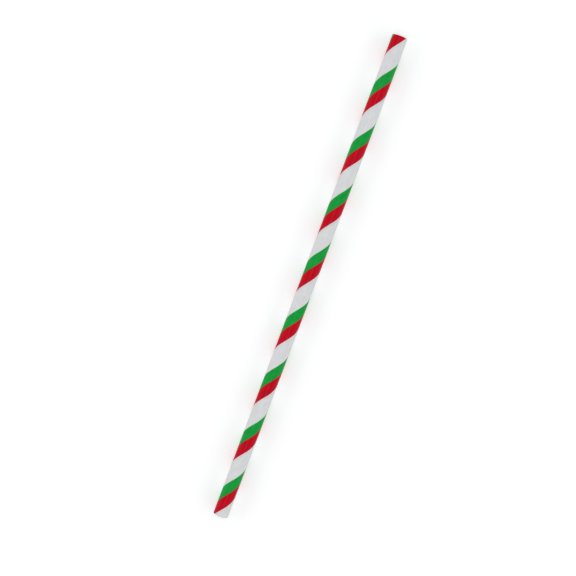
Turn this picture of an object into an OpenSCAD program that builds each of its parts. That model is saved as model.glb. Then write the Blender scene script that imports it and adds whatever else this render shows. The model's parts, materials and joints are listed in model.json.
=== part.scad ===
// Paper drinking straw, lying on its side along X with the middle of its length over the origin.
// The wall is wound from glued paper strips, and the outermost strip is printed with two stripes.
// The strips climb around the tube as a right-handed helix, and the outer one is laid edge to edge,
// with a hairline seam between one turn and the next. Both ends are cut off square.

/* [Tube] */
// Length from one cut end to the other
straw_l = 197; // [120:1:260]
// Outside diameter
straw_d = 6; // [5:0.1:12]
// Thickness of the whole wound wall
wall = 0.4; // [0.25:0.05:0.8]

/* [Winding] */
// Distance along the straw that the strips climb in one turn
lead = 23.76; // [16.8:0.12:39.6]
// Thickness of the printed outer strip
strip_t = 0.16; // [0.08:0.01:0.2]
// Gap left at the seam between two turns of the outer strip, measured across the strip
seam_gap = 0.15; // [0.05:0.01:0.4]
// Turn about the axis at which the seam meets the first end
seam_turn = 137.2; // [0:0.1:359.9]

/* [Print] */
// Width of the green stripe, measured across the strip
green_w = 3.85; // [1:0.05:5.5]
// Width of the red stripe, measured across the strip
red_w = 4.05; // [1:0.05:5.5]
// Width of the white margin left between the red stripe and the seam, measured across the strip
margin_w = 0.3; // [0.15:0.05:1.5]

/* [Hidden] */

// Round sizes of the wall, from the bore outwards
outer_r = straw_d / 2;
bore_r = outer_r - wall;
core_r = outer_r - strip_t;
round_fn = 96;

// The climb in a turn sets the strip's angle with the axis and its width, since its edges meet
wind_angle = atan(PI * straw_d / lead);
strip_w = PI * straw_d * cos(wind_angle);
turns = ceil(straw_l / lead);
slices_per_turn = 12;
slice_h = lead / slices_per_turn;
slice_turn = 360 / slices_per_turn;
// Share of a slice that a turn starts early, so that turns don't meet at the corner of a slice
slice_lead = 0.7;

// Colour fields across the strip, each from one place to another, counted from the seam's middle
// A field laps a hair over the next one, so that the print has no cracks
WHITE = "#e9e8ea";
GREEN = "#17994a";
RED = "#bf0a2e";
margin_end = strip_w - seam_gap / 2;
red_end = margin_end - margin_w;
green_end = red_end - red_w;
white_end = green_end - green_w;
lap = 0.06;
FIELDS = [
    [WHITE, seam_gap / 2, white_end + lap],
    [GREEN, white_end, green_end + lap],
    [RED, green_end, red_end + lap],
    [WHITE, red_end, margin_end],
];

// A wound sector stands clear of the strip's two faces by this much
clear = 0.03;
sector_in_r = core_r - clear;
sector_out_r = outer_r / cos(slice_turn / 2) + clear;
sector_far_r = 2 * outer_r;
sector_step = 45;

// Straight tube, from z = 0 up
module tube(inner_r, tube_r, h) {
    difference() {
        cylinder(r = tube_r, h = h, $fn = round_fn);
        translate([0, 0, -1])
            cylinder(r = inner_r, h = h + 2, $fn = round_fn);
    }
}

// Turn about the axis that a distance across the strip comes to
function turn_at(across) = 360 * across / strip_w;

function on_circle(r, turn) = r * [cos(turn), sin(turn)];

// Sector of a circle between two turns, without its middle
module sector(from, to) {
    steps = max(2, ceil((to - from) / sector_step));
    polygon([
        on_circle(sector_in_r, from),
        on_circle(sector_out_r, from),
        for (i = [1:steps - 1]) on_circle(sector_far_r, from + (to - from) * i / steps),
        on_circle(sector_out_r, to),
        on_circle(sector_in_r, to),
    ]);
}

// One turn of a field of the strip: the part of the ply that a winding sector sweeps
module field_turn(from, to, h) {
    intersection() {
        tube(core_r, outer_r, h);
        translate([0, 0, -slice_lead * slice_h])
            linear_extrude(height = lead + slice_h, twist = -360 - slice_turn,
                           slices = slices_per_turn + 1, segments = 0)
                rotate(-slice_lead * slice_turn) sector(turn_at(from), turn_at(to));
    }
}

// The printed outer strip, laid turn after turn until the straw ends
module printed_strip() {
    for (i = [0:turns - 1])
        translate([0, 0, i * lead])
            for (field = FIELDS)
                color(field[0]) field_turn(field[1], field[2], min(lead, straw_l - i * lead));
}

module straw() {
    translate([-straw_l / 2, 0, outer_r])
        rotate([0, 90, 0])
            rotate(seam_turn) {
                color(WHITE) tube(bore_r, core_r, straw_l);
                printed_strip();
            }
}

straw();
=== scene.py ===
# %% [markdown]
# A paper drinking straw, printed with a green and a red stripe.
# The real one comes from a winding machine: two plain strips of paper and one printed strip are
# glued and wound around a steel rod as a helix, and the endless tube is cut into straws.
# This lesson winds the wall in Geometry Nodes from its few real sizes, prints it with a procedural
# material that follows the strip, and looks down on it as it lies on a table.

import json
import math

import bpy
from mathutils import Matrix, Vector


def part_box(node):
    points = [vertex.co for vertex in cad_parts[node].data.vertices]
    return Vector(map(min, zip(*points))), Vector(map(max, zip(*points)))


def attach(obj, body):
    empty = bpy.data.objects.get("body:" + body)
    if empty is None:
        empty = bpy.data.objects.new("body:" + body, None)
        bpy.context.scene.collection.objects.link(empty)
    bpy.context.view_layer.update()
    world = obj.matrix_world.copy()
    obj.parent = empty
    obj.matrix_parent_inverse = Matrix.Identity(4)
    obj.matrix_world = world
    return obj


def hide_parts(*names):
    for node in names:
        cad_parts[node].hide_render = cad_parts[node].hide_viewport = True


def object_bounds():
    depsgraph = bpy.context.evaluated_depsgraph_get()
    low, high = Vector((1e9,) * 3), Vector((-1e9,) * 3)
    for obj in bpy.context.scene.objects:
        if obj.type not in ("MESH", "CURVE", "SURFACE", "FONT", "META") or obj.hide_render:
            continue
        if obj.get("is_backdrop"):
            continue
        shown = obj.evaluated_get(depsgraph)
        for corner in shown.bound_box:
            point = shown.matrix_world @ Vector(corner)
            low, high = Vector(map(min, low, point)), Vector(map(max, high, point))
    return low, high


MM = 0.001


def in_mm(length):
    return round(length / MM, 3)


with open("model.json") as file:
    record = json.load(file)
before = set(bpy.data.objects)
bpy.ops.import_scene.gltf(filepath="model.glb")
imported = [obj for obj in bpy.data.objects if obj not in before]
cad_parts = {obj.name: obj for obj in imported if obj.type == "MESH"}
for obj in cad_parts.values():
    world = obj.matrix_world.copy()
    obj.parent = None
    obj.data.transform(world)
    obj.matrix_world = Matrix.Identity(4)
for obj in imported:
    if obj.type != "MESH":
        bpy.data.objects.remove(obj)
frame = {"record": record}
cad_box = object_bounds()
print("CAD box in mm:", [[in_mm(v) for v in corner] for corner in cad_box])

# %% [markdown]
# The sizes of the tube aren't typed in a second time. The record of the CAD model states the bore
# and the outside as two round fits along one axis, and the box gives the length. What the record
# can't say is how the strip is laid, so the strip's sizes follow.

# %% Sizes of the tube
fits = {mount["name"]: mount["dims"]["r_mm"] * MM for mount in frame["record"]["mounts"]}
bore_radius, outer_radius = fits["bore"], fits["outside"]
low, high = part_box("straw")
straw_length = high.x - low.x
axis_height = outer_radius
wall = outer_radius - bore_radius
measures = [straw_length, 2 * bore_radius, 2 * outer_radius, wall]
print("length, bore, outside and wall in mm:", [in_mm(measure) for measure in measures])

# %% Sizes of the printed strip
strip_thickness = 0.16 * MM
climb = 23.76 * MM
wind_angle = math.atan(2 * math.pi * outer_radius / climb)
strip_width = 2 * math.pi * outer_radius * math.cos(wind_angle)
seam_gap = 0.15 * MM
seam_turn = math.radians(137.2)
green_width = 3.85 * MM
red_width = 4.05 * MM
margin = 0.3 * MM
red_end = strip_width - seam_gap / 2 - margin
green_end = red_end - red_width
white_end = green_end - green_width
print("strip width in mm:", in_mm(strip_width), "wound at", round(math.degrees(wind_angle), 2))
print("white, green and red end at, in mm:", in_mm(white_end), in_mm(green_end), in_mm(red_end))

# %% [markdown]
# Two trees of nodes follow, one for the shape and one for the finish, and both are mostly sums.
# Sums are easier to read as Python than as links, so one small class wraps a socket and turns
# + - * / and a few functions into Math nodes. Every other node comes from one method, which sets
# the node's settings first, because they decide which sockets the node has.

# %% Sums on sockets


class Wire:
    """A node's output on which sums are written as plain Python."""

    def __init__(self, drawing, socket):
        self.drawing = drawing
        self.socket = socket

    def sum(self, operation, *values):
        made = self.drawing.node("ShaderNodeMath", {"operation": operation}, dict(enumerate(values)))
        return Wire(self.drawing, made.outputs[0])

    def __add__(self, other):
        return self.sum("ADD", self, other)

    def __radd__(self, other):
        return self.sum("ADD", other, self)

    def __sub__(self, other):
        return self.sum("SUBTRACT", self, other)

    def __rsub__(self, other):
        return self.sum("SUBTRACT", other, self)

    def __mul__(self, other):
        return self.sum("MULTIPLY", self, other)

    def __rmul__(self, other):
        return self.sum("MULTIPLY", other, self)

    def __truediv__(self, other):
        return self.sum("DIVIDE", self, other)

    def __rtruediv__(self, other):
        return self.sum("DIVIDE", other, self)

    def __gt__(self, other):
        return self.sum("GREATER_THAN", self, other)

    def __abs__(self):
        return self.sum("ABSOLUTE", self)

    def least(self, other):
        return self.sum("MINIMUM", self, other)

    def most(self, other):
        return self.sum("MAXIMUM", self, other)

    def rounded(self):
        return self.sum("ROUND", self)

    def sine(self):
        return self.sum("SINE", self)

    def cosine(self):
        return self.sum("COSINE", self)

    def sign(self):
        return self.sum("SIGN", self)

    def power(self, other):
        return self.sum("POWER", self, other)


# %% One way to place a node
class Drawing:
    """A tree of nodes. Settings are set before sockets, and a socket takes a value or a wire."""

    def __init__(self, tree):
        self.tree = tree

    def node(self, kind, settings, sockets):
        made = self.tree.nodes.new(kind)
        for name, value in settings.items():
            if name == "choices":
                while len(made.index_switch_items) < value:
                    made.index_switch_items.new()
            else:
                setattr(made, name, value)
        for name, value in sockets.items():
            if isinstance(value, Wire):
                self.tree.links.new(value.socket, made.inputs[name])
            else:
                made.inputs[name].default_value = value
        return made

    def wire(self, kind, settings, sockets, output=0):
        return Wire(self, self.node(kind, settings, sockets).outputs[output])

    def vector(self, x, y, z):
        return self.wire("ShaderNodeCombineXYZ", {}, {"X": x, "Y": y, "Z": z})

    def axes(self, vector):
        """The three numbers of a vector."""
        apart = self.node("ShaderNodeSeparateXYZ", {}, {0: vector})
        return [Wire(self, number) for number in apart.outputs]

    def grey(self, value):
        return self.wire("ShaderNodeCombineColor", {}, {"Red": value, "Green": value, "Blue": value})

    def seen_by(self, *kinds):
        """1 for rays of the given kinds and 0 for all others."""
        light_path = self.node("ShaderNodeLightPath", {}, {})
        seen = Wire(self, light_path.outputs[kinds[0]])
        for kind in kinds[1:]:
            seen = seen.most(Wire(self, light_path.outputs[kind]))
        return seen


# %% [markdown]
# The wall is wound as the machine does it: from a flat sheet. A Mesh Cube gives a sheet with rows
# along the straw, columns across the strip and a few layers through the wall. One Set Position
# then rolls it up and turns every row a little further than the last, so the columns run along
# the strip, and the seam between its edges is simply the first and the last columns. A tube cut
# by a Boolean would need a far finer mesh to show a seam of 0.15 mm that isn't a staircase.

# %% A tree with the sizes as its inputs
winding = bpy.data.node_groups.new("winding", "GeometryNodeTree")
flat = Drawing(winding)
inputs = {
    "Length": straw_length,
    "Bore Radius": bore_radius,
    "Outer Radius": outer_radius,
    "Axis Height": axis_height,
    "Climb": climb,
    "Strip Width": strip_width,
    "Strip Thickness": strip_thickness,
    "Seam Gap": seam_gap,
    "Seam Turn": seam_turn,
    "Edge Softness": 0.05 * MM,
    "Glue Line": 0.02 * MM,
    "Rows": 360,
    "Columns": 96,
    "Seed": 7.0,
}
identifiers = {}
for name, value in inputs.items():
    kind = "NodeSocketInt" if isinstance(value, int) else "NodeSocketFloat"
    identifiers[name] = winding.interface.new_socket(name, in_out="INPUT", socket_type=kind).identifier
paper_input = winding.interface.new_socket("Paper", in_out="INPUT", socket_type="NodeSocketMaterial")
winding.interface.new_socket("Wall", in_out="OUTPUT", socket_type="NodeSocketGeometry")
given = flat.node("NodeGroupInput", {}, {})
size = {name: Wire(flat, given.outputs[name]) for name in inputs}
print(len(inputs), "named sizes")

# %% [markdown]
# Seen from its end, the wall has three plies of paper with a thin line of glue between them. The
# layers of the sheet are placed at those lines, as shares of the wall's thickness. The blade
# crushes both corners of the cut a little, and the glue lines sit a hair lower than the paper.

# %% The flat sheet
ply = (1 - strip_thickness / wall) / 2
beside = 0.05
glue_shares = [share for line in (ply, 2 * ply) for share in (line - beside, line, line + beside)]
shares = [0, *glue_shares, 1]
sunk = [0, *([0, 1, 0] * 2), 0]
layers = len(shares) - 1
sheet = flat.wire(
    "GeometryNodeMeshCube",
    {},
    {
        "Size": flat.vector(size["Rows"], size["Columns"], layers),
        "Vertices X": size["Rows"] + 1,
        "Vertices Y": size["Columns"] + 1,
        "Vertices Z": layers + 1,
    },
)
facing = flat.axes(flat.wire("GeometryNodeInputNormal", {}, {}))
edge_faces = abs(facing[1]) > 0.5
open_sheet = flat.wire(
    "GeometryNodeDeleteGeometry", {"domain": "FACE"}, {"Geometry": sheet, "Selection": edge_faces}
)
print("layers at these shares of the wall:", [round(share, 3) for share in shares])

# %% Row, column and layer of each point
sheet_x, sheet_y, sheet_z = flat.axes(flat.wire("GeometryNodeInputPosition", {}, {}))
row = (sheet_x + size["Rows"] / 2).rounded()
column = (sheet_y + size["Columns"] / 2).rounded()
layer = (sheet_z + layers / 2).rounded()


def pick(index, values):
    """The value that belongs to a whole number, held at the last one past the end."""
    sockets = {0: index.least(len(values) - 1)}
    sockets.update({i + 1: value for i, value in enumerate(values)})
    return flat.wire("GeometryNodeIndexSwitch", {"data_type": "FLOAT", "choices": len(values)}, sockets)


print(inputs["Rows"], "rows,", inputs["Columns"], "columns and", layers, "layers of faces")

# %% [markdown]
# Rows and columns are even, except near the cut ends and near the seam, where three of them are
# drawn together to round the corner. Each place is counted from the nearer edge, so one list
# shapes both sides: the first entries are the rounding, and the rest follow at an even step.
# The middle of a round corner lies about 0.3 of its radius in from both of its sides.

# %% Where each row lies along the straw
drawn = 3
soft = size["Edge Softness"]
mid_corner = 0.3 * soft
even_rows_from = 3 * soft
from_end = row.least(size["Rows"] - row)
row_step = (size["Length"] / 2 - even_rows_from) / (size["Rows"] / 2 - drawn)
inset = pick(from_end, [0.0, mid_corner, soft, even_rows_from]) + (from_end - drawn).most(0) * row_step
rounding = pick(from_end, [soft, mid_corner, 0.0])
half = (row - size["Rows"] / 2).sign()
glue_dip = pick(layer, [size["Glue Line"] * s for s in sunk])
along_axis = half * (size["Length"] / 2 - inset - glue_dip)
print("mean step between rows in mm:", in_mm(straw_length / inputs["Rows"]))

# %% Where each column lies across the strip
nib = 0.012 * MM
from_seam = column.least(size["Columns"] - column)
half_gap = size["Seam Gap"] / 2
even_columns_from = half_gap + 5 * nib
column_step = (size["Strip Width"] / 2 - even_columns_from) / (size["Columns"] / 2 - drawn)
reach = pick(from_seam, [0.0, half_gap - nib, half_gap + nib, even_columns_from])
reach = reach + (from_seam - drawn).most(0) * column_step
side = (size["Columns"] / 2 - column).sign()
across = size["Strip Width"] / 2 - side * (size["Strip Width"] / 2 - reach)
groove = pick(from_seam, [size["Strip Thickness"], size["Strip Thickness"], 1.5 * nib, 0.0])
print("mean step between columns in mm:", in_mm(strip_width / inputs["Columns"]))

# %% [markdown]
# Rolling up is two lines of school geometry. A point's turn about the axis grows with its place
# across the strip and with its place along the straw, and its radius lies between the bore and
# the outside, by its layer's share of the wall. A very slight unevenness of the cut, from a noise
# with a fixed seed, keeps the ends from looking machined.

# %% Roll the sheet up
INNER_CRUSH = 0.6
turns = across / size["Strip Width"] + (along_axis + size["Length"] / 2) / size["Climb"]
turn = size["Seam Turn"] + 2 * math.pi * turns
inner = size["Bore Radius"] + INNER_CRUSH * rounding
outer = size["Outer Radius"] - rounding - groove
radius = inner + pick(layer, shares) * (outer - inner)
print("turns of the strip:", round(straw_length / climb, 2))

# %% The uneven cut
UNEVEN = 0.03 * MM
ENDS_APART, WAVES = 3, 2.6
ring = flat.vector(turn.cosine(), turn.sine(), half * ENDS_APART)
cut_noise = flat.wire(
    "ShaderNodeTexNoise", {"noise_dimensions": "4D"}, {"Vector": ring, "W": size["Seed"], "Scale": WAVES}
)
near_cut = pick(from_end, [1.0, 1.0, 1.0, 1.0, 0.5, 0.0])
ragged = near_cut * cut_noise * UNEVEN
rolled = flat.vector(
    along_axis - half * ragged,
    radius * turn.sine(),
    size["Axis Height"] - radius * turn.cosine(),
)
print("the cut is uneven by at most, in mm:", in_mm(UNEVEN))

# %% [markdown]
# The print follows the strip, so the strip's own two directions are kept as a UV map before the
# sheet is rolled: U is the distance across the strip and V the distance along it, in millimetres.
# Rolling the sheet this way round turns it inside out, as a sock is, so its faces are flipped to
# look outwards again. Merging the two open edges closes the tube, and the tree ends as the
# exporter needs it.
# # its instances and giving the wall its material.

# %% Keep the strip's directions and close the wall
TOUCHING = 0.001 * MM
across_mm = across / MM
round_mm = turn * size["Outer Radius"] / MM
along_mm = round_mm * math.sin(wind_angle) + along_axis * (math.cos(wind_angle) / MM)
mapped = flat.wire(
    "GeometryNodeStoreNamedAttribute",
    {"data_type": "FLOAT2", "domain": "CORNER"},
    {"Geometry": open_sheet, "Name": "strip", "Value": flat.vector(across_mm, along_mm, 0)},
)
moved = flat.wire("GeometryNodeSetPosition", {}, {"Geometry": mapped, "Position": rolled})
outward = flat.wire("GeometryNodeFlipFaces", {}, {"Mesh": moved})
closed = flat.wire("GeometryNodeMergeByDistance", {}, {"Geometry": outward, "Distance": TOUCHING})
smooth = flat.wire("GeometryNodeSetShadeSmooth", {}, {"Geometry": closed, "Shade Smooth": True})
real = flat.wire("GeometryNodeRealizeInstances", {}, {"Geometry": smooth})
papered = flat.wire(
    "GeometryNodeSetMaterial", {}, {"Geometry": real, "Material": Wire(flat, given.outputs["Paper"])}
)
flat.node("NodeGroupOutput", {}, {"Wall": papered})
print(len(winding.nodes), "nodes in the winding")

# %% [markdown]
# The printed paper. Ink on glazed paper is nearly flat in colour, but not quite: it takes
# unevenly on the fibres, it is laid down in faint streaks as the strip runs through the press, its
# edges wander by a few hundredths of a millimetre, and where green and red meet the printer lets
# them overlap by a dark hair. All of it is drawn from the strip's own directions, so that fibres
# and ink turn around the straw as the paper does. An image wrapped around the tube would blur at
# this scale, while these sums stay sharp however near one looks.

# %% Colours
WHITE_PAPER = (0.74, 0.742, 0.745)
BARE_PAPER = (0.78, 0.765, 0.74)
GREEN_INK = (0.006, 0.335, 0.045)
RED_INK = (0.548, 0.001, 0.013)


def shade(colour):
    return (*colour, 1)


print("paper, green and red as linear colours:", WHITE_PAPER, GREEN_INK, RED_INK)

# %% Where on the strip a point lies
paper = bpy.data.materials.new("printed_paper")
paper.use_nodes = True
paper.node_tree.nodes.clear()
ink = Drawing(paper.node_tree)
u, v = ink.axes(ink.wire("ShaderNodeUVMap", {"uv_map": "strip"}, {}))[:2]
x, y, z = ink.axes(ink.wire("ShaderNodeTexCoord", {}, {}, "Object"))
above = z - axis_height
from_axis = (y * y + above * above).power(0.5)
print("material:", paper.name)

# %% Noise, slopes and mixing
# Grains in a metre of depth, so that each ply's noise differs from the next one's
GRAINS_DEEP = 900


def noise(stretch_across, stretch_along, detail=3.0):
    """Noise with grains of the two given sizes in mm, across and along the strip."""
    at = ink.vector(u / stretch_across, v / stretch_along, from_axis * GRAINS_DEEP)
    return ink.wire("ShaderNodeTexNoise", {}, {"Vector": at, "Scale": 1.0, "Detail": detail})


def step(value, edge, softness):
    """0 below the edge and 1 above it, with a slope of the given width between."""
    return ((value - edge) / softness + 0.5).most(0).least(1)


def mix(factor, first, second, blend="MIX"):
    return ink.wire(
        "ShaderNodeMix", {"data_type": "RGBA", "blend_type": blend}, {0: factor, 6: first, 7: second}, 2
    )


# %% The stripes and their slightly wandering edges
BLEED, WANDER = 0.05, 0.10
edge = u + (noise(0.5, 0.9) - 0.5) * WANDER
before_margin = 1 - step(edge, red_end / MM, BLEED)
in_green = step(edge, white_end / MM, BLEED) * before_margin
in_red = step(edge, green_end / MM, BLEED) * before_margin
printed = mix(in_green, shade(WHITE_PAPER), shade(GREEN_INK))
printed = mix(in_red, printed, shade(RED_INK))
print("the ink's edges wander in a band of", WANDER, "mm and fade over", BLEED, "mm")

# %% Mottle of the ink and of the sheet
# Each noise is centred on 0, and its factor says how strongly it shows
cloud = noise(1.6, 3.2) - 0.5
grain = noise(0.10, 0.45, 4.0) - 0.5
streak = noise(0.8, 9.0) - 0.5
sheet_tone = 1 + 0.16 * cloud + 0.12 * grain
ink_tone = 0.26 * cloud + 0.14 * grain + 0.22 * streak
HALF_LAP = 0.06
after_start = step(edge, green_end / MM - HALF_LAP, BLEED)
before_end = 1 - step(edge, green_end / MM + HALF_LAP, BLEED)
overprint = after_start * before_end
tone = (sheet_tone + in_green * ink_tone) * (1 - 0.5 * overprint)
printed = mix(1.0, printed, ink.grey(tone), "MULTIPLY")
print("green and red overlap by", 2 * HALF_LAP, "mm")

# %% [markdown]
# Only the glazed face of the outer strip carries ink. The bore, the cut ends and the floor of the
# seam are bare paper, and each is told from the outside by its distance from the axis or from the
# end, which Object coordinates give exactly. At the cut the glue lines show as thin darker rings.

# %% Bare paper inside and at the cuts
CUT_DEPTH, GLUE_REACH, SLOPE = 0.035 * MM, 0.02 * MM, 0.02 * MM
ink_depth = 0.6 * strip_thickness
glazed = step(from_axis, outer_radius - ink_depth, ink_depth / 2)
cut_away = step(abs(x), straw_length / 2 - CUT_DEPTH, SLOPE)
inked = glazed * (1 - cut_away)
glue_radii = [bore_radius + line * ply * wall for line in (1, 2)]
to_first, to_second = [abs(from_axis - glue_radius) for glue_radius in glue_radii]
glue_line = cut_away * (1 - step(to_first.least(to_second), GLUE_REACH, SLOPE))
fibres = noise(0.15, 0.9, 5.0)
bare_tone = 0.90 + 0.16 * fibres - 0.12 * glue_line
bare = mix(1.0, shade(BARE_PAPER), ink.grey(bare_tone), "MULTIPLY")
colour = mix(inked, bare, printed)
print("glue lines at radii in mm:", [in_mm(glue_radius) for glue_radius in glue_radii])

# %% Gloss, grain and the finished material
GLAZE_ROUGH, BARE_ROUGH = 0.30, 0.85
GLOSS = 0.07
RELIEF = 0.12 * MM
roughness = (GLAZE_ROUGH + 0.14 * cloud) * inked + BARE_ROUGH * (1 - inked)
height = inked * (grain * 0.35 + cloud * 0.25) + (1 - inked) * fibres
bump = ink.wire("ShaderNodeBump", {}, {"Height": height, "Strength": 0.5, "Distance": RELIEF})
finish = ink.wire(
    "ShaderNodeBsdfPrincipled",
    {},
    {"Base Color": colour, "Roughness": roughness, "Specular IOR Level": GLOSS, "Normal": bump},
)
ink.node("ShaderNodeOutputMaterial", {}, {"Surface": finish})
print(len(paper.node_tree.nodes), "nodes in the printed paper")

# %% [markdown]
# Now the tree is given its sizes and run once. The result is copied out as a plain mesh and the
# modifier is taken off, because the finished piece has to stand by itself in any program.

# %% Wind the straw
straw = bpy.data.objects.new("straw_wound", bpy.data.meshes.new("straw_wound"))
bpy.context.scene.collection.objects.link(straw)
machine = straw.modifiers.new("winding", "NODES")
machine.node_group = winding
for name, value in inputs.items():
    machine[identifiers[name]] = value
machine[paper_input.identifier] = paper
graph = bpy.context.evaluated_depsgraph_get()
wound = bpy.data.meshes.new_from_object(
    straw.evaluated_get(graph), preserve_all_data_layers=True, depsgraph=graph
)
straw.modifiers.clear()
straw.data = wound
wound.calc_loop_triangles()
print("triangles:", len(wound.loop_triangles), "maps:", [uv_map.name for uv_map in wound.uv_layers])

# %% [markdown]
# A closed wall has no open edge, and its signed volume is positive only when its faces look
# outwards. Both are measured here, because neither shows in a picture.

# %% Is the wall closed?
import bmesh

probe = bmesh.new()
probe.from_mesh(wound)
open_edges = [e for e in probe.edges if not e.is_manifold]
print("open edges:", len(open_edges), "volume in mm3:", round(probe.calc_volume(signed=True) / MM**3, 2))
probe.free()

# %% The straw takes the place of its CAD solid
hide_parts("straw")
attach(straw, "root")
print(straw.name, "takes the place of the solid")

# %% [markdown]
# A straw rolls off any end it is stood on, so it lies on its side, and the camera looks down on
# it. The pose comes from the picture that is matched: its two ends are seen at two known pixels,
# the upper one about 5 percent nearer. With the real length between them that fixes the camera
# completely, so the pose is worked out here and not tuned by eye.

# %% The two ends in front of the camera
IMAGE = 576
FOCAL = 950
UPPER_PIXEL, LOWER_PIXEL = Vector((399.9, 37.0)), Vector((220.7, 514.6))
FURTHER = 1.055


def ray(pixel):
    """The way to a pixel as the camera has it: x to the right, y down and z ahead."""
    return Vector(((pixel.x - IMAGE / 2) / FOCAL, (pixel.y - IMAGE / 2) / FOCAL, 1))


upper_ray, lower_ray = ray(UPPER_PIXEL), ray(LOWER_PIXEL) * FURTHER
depth = straw_length / (upper_ray - lower_ray).length
upper_end, lower_end = upper_ray * depth, lower_ray * depth
middle = (upper_end + lower_end) / 2
print("distance from the camera in mm:", round(middle.length / MM, 1))

# %% The camera over the lying straw
SENSOR = 36
to_x = (upper_end - lower_end).normalized()
to_z = (-middle - to_x * -middle.dot(to_x)).normalized()
to_y = to_z.cross(to_x)
seen_from_world = Matrix((to_x, to_y, to_z))
right = seen_from_world @ Vector((1, 0, 0))
up = seen_from_world @ Vector((0, -1, 0))
back = seen_from_world @ Vector((0, 0, -1))
straw_middle = Vector((0, 0, axis_height))
spot_of_camera = straw_middle - seen_from_world @ middle
camera = bpy.data.objects.new("camera", bpy.data.cameras.new("camera"))
camera.data.sensor_width = SENSOR
camera.data.lens = FOCAL / IMAGE * SENSOR
camera.data.clip_start = 0.01
camera.matrix_world = Matrix.Translation(spot_of_camera) @ Matrix((right, up, back)).transposed().to_4x4()
bpy.context.scene.collection.objects.link(camera)
bpy.context.scene.camera = camera
elevation = math.degrees(math.asin((spot_of_camera - straw_middle).normalized().z))
print("camera looks down at", round(elevation, 1), "degrees")

# %% [markdown]
# The table is a plain pale sheet. The picture has a pure white ground, so camera rays get a
# little extra glow from it, while the straw's soft shadow still falls on it as on any paper.
# The lamps light only the table's middle, so the glow grows outwards and keeps the far parts as
# white as the near ones when the straw is seen from the side. A curved backdrop isn't needed,
# because the camera looks down, and the sky behind the table's edge is just as white.

# %% Table
HALF_TABLE = 3.0
table_mesh = bpy.data.meshes.new("table")
table_mesh.from_pydata(
    [(HALF_TABLE * i, HALF_TABLE * j, 0) for i, j in ((-1, -1), (1, -1), (1, 1), (-1, 1))],
    [],
    [(0, 1, 2, 3)],
)
table = bpy.data.objects.new("table", table_mesh)
bpy.context.scene.collection.objects.link(table)
print("table width in m:", 2 * HALF_TABLE)

# %% Its surface
TABLE_WHITE = (0.84, 0.84, 0.84)
LIT_RADIUS, FADE = 0.13, 0.6
NEAR_GLOW, MORE_OUTSIDE = 0.27, 0.4
ground = bpy.data.materials.new("pale_table")
ground.use_nodes = True
ground.node_tree.nodes.clear()
plain = Drawing(ground.node_tree)
table_x, table_y = plain.axes(plain.wire("ShaderNodeTexCoord", {}, {}, "Object"))[:2]
from_middle = (table_x * table_x + table_y * table_y).power(0.5)
outside = ((from_middle - LIT_RADIUS) / FADE).most(0).least(1)
seen = plain.seen_by("Is Camera Ray", "Is Glossy Ray", "Is Transmission Ray")
glow_level = seen * (NEAR_GLOW + MORE_OUTSIDE * outside)
matt = plain.wire("ShaderNodeBsdfDiffuse", {}, {"Color": shade(TABLE_WHITE)})
glow = plain.wire("ShaderNodeEmission", {}, {"Color": plain.grey(glow_level), "Strength": 1.0})
lit = plain.wire("ShaderNodeAddShader", {}, {0: matt, 1: glow})
plain.node("ShaderNodeOutputMaterial", {}, {"Surface": lit})
table_mesh.materials.append(ground)
table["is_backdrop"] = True
print(len(ground.node_tree.nodes), "nodes in the table")

# %% [markdown]
# The light is soft and nearly even. A glazed straw is a faint mirror that is straight along its
# length, so one long, narrow lamp above it draws the fine gleam that runs down its middle. Two
# wide lamps, low at the left and the right, keep its sides as bright as its top. The sky fills in
# the rest: even and a little dim on the straw, and pure white where the camera sees it directly.

# %% Sky
SKY_LEVEL = 0.48
world = bpy.data.worlds.new("studio")
bpy.context.scene.world = world
world.use_nodes = True
world.node_tree.nodes.clear()
air = Drawing(world.node_tree)
seen = air.seen_by("Is Camera Ray", "Is Transmission Ray")
even = air.wire("ShaderNodeBackground", {}, {"Color": (0.97, 0.985, 1, 1), "Strength": SKY_LEVEL})
white = air.wire("ShaderNodeBackground", {}, {"Color": (1, 1, 1, 1), "Strength": 1.0})
sky = air.wire("ShaderNodeMixShader", {}, {0: seen, 1: even, 2: white})
air.node("ShaderNodeOutputWorld", {}, {"Surface": sky})
print("sky level on the straw:", SKY_LEVEL)


# %% Lamps
def lamp(name, place, length, width, level):
    """A soft lamp aimed at the straw; level is how bright it alone would make white paper."""
    light = bpy.data.lights.new(name, "AREA")
    light.shape = "RECTANGLE"
    light.size, light.size_y = length, width
    light.energy = level * math.pi**2 * Vector(place).length_squared
    made = bpy.data.objects.new(name, light)
    away = Vector(place).normalized()
    width_axis = away.cross(Vector((1, 0, 0))).normalized()
    length_axis = width_axis.cross(away)
    turned = Matrix((length_axis, width_axis, away)).transposed().to_4x4()
    made.matrix_world = Matrix.Translation(place) @ turned
    bpy.context.scene.collection.objects.link(made)
    return made


lamps = [
    lamp("gleam_over", place=(0, 0.02, 0.8), length=1.0, width=0.06, level=0.30),
    lamp("low_right", place=(0, -0.72, 0.36), length=1.2, width=0.4, level=0.29),
    lamp("low_left", place=(0, 0.72, 0.36), length=1.2, width=0.4, level=0.31),
]
bpy.context.scene.view_settings.view_transform = "Standard"
print("lamps in watts:", {made.name: round(made.data.energy, 2) for made in lamps})

# %% [markdown]
# Last, the visual model's box is set beside the CAD box.

# %% Sizes of the visual model
visual_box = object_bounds()
print("visual box in mm:", [[in_mm(v) for v in corner] for corner in visual_box])
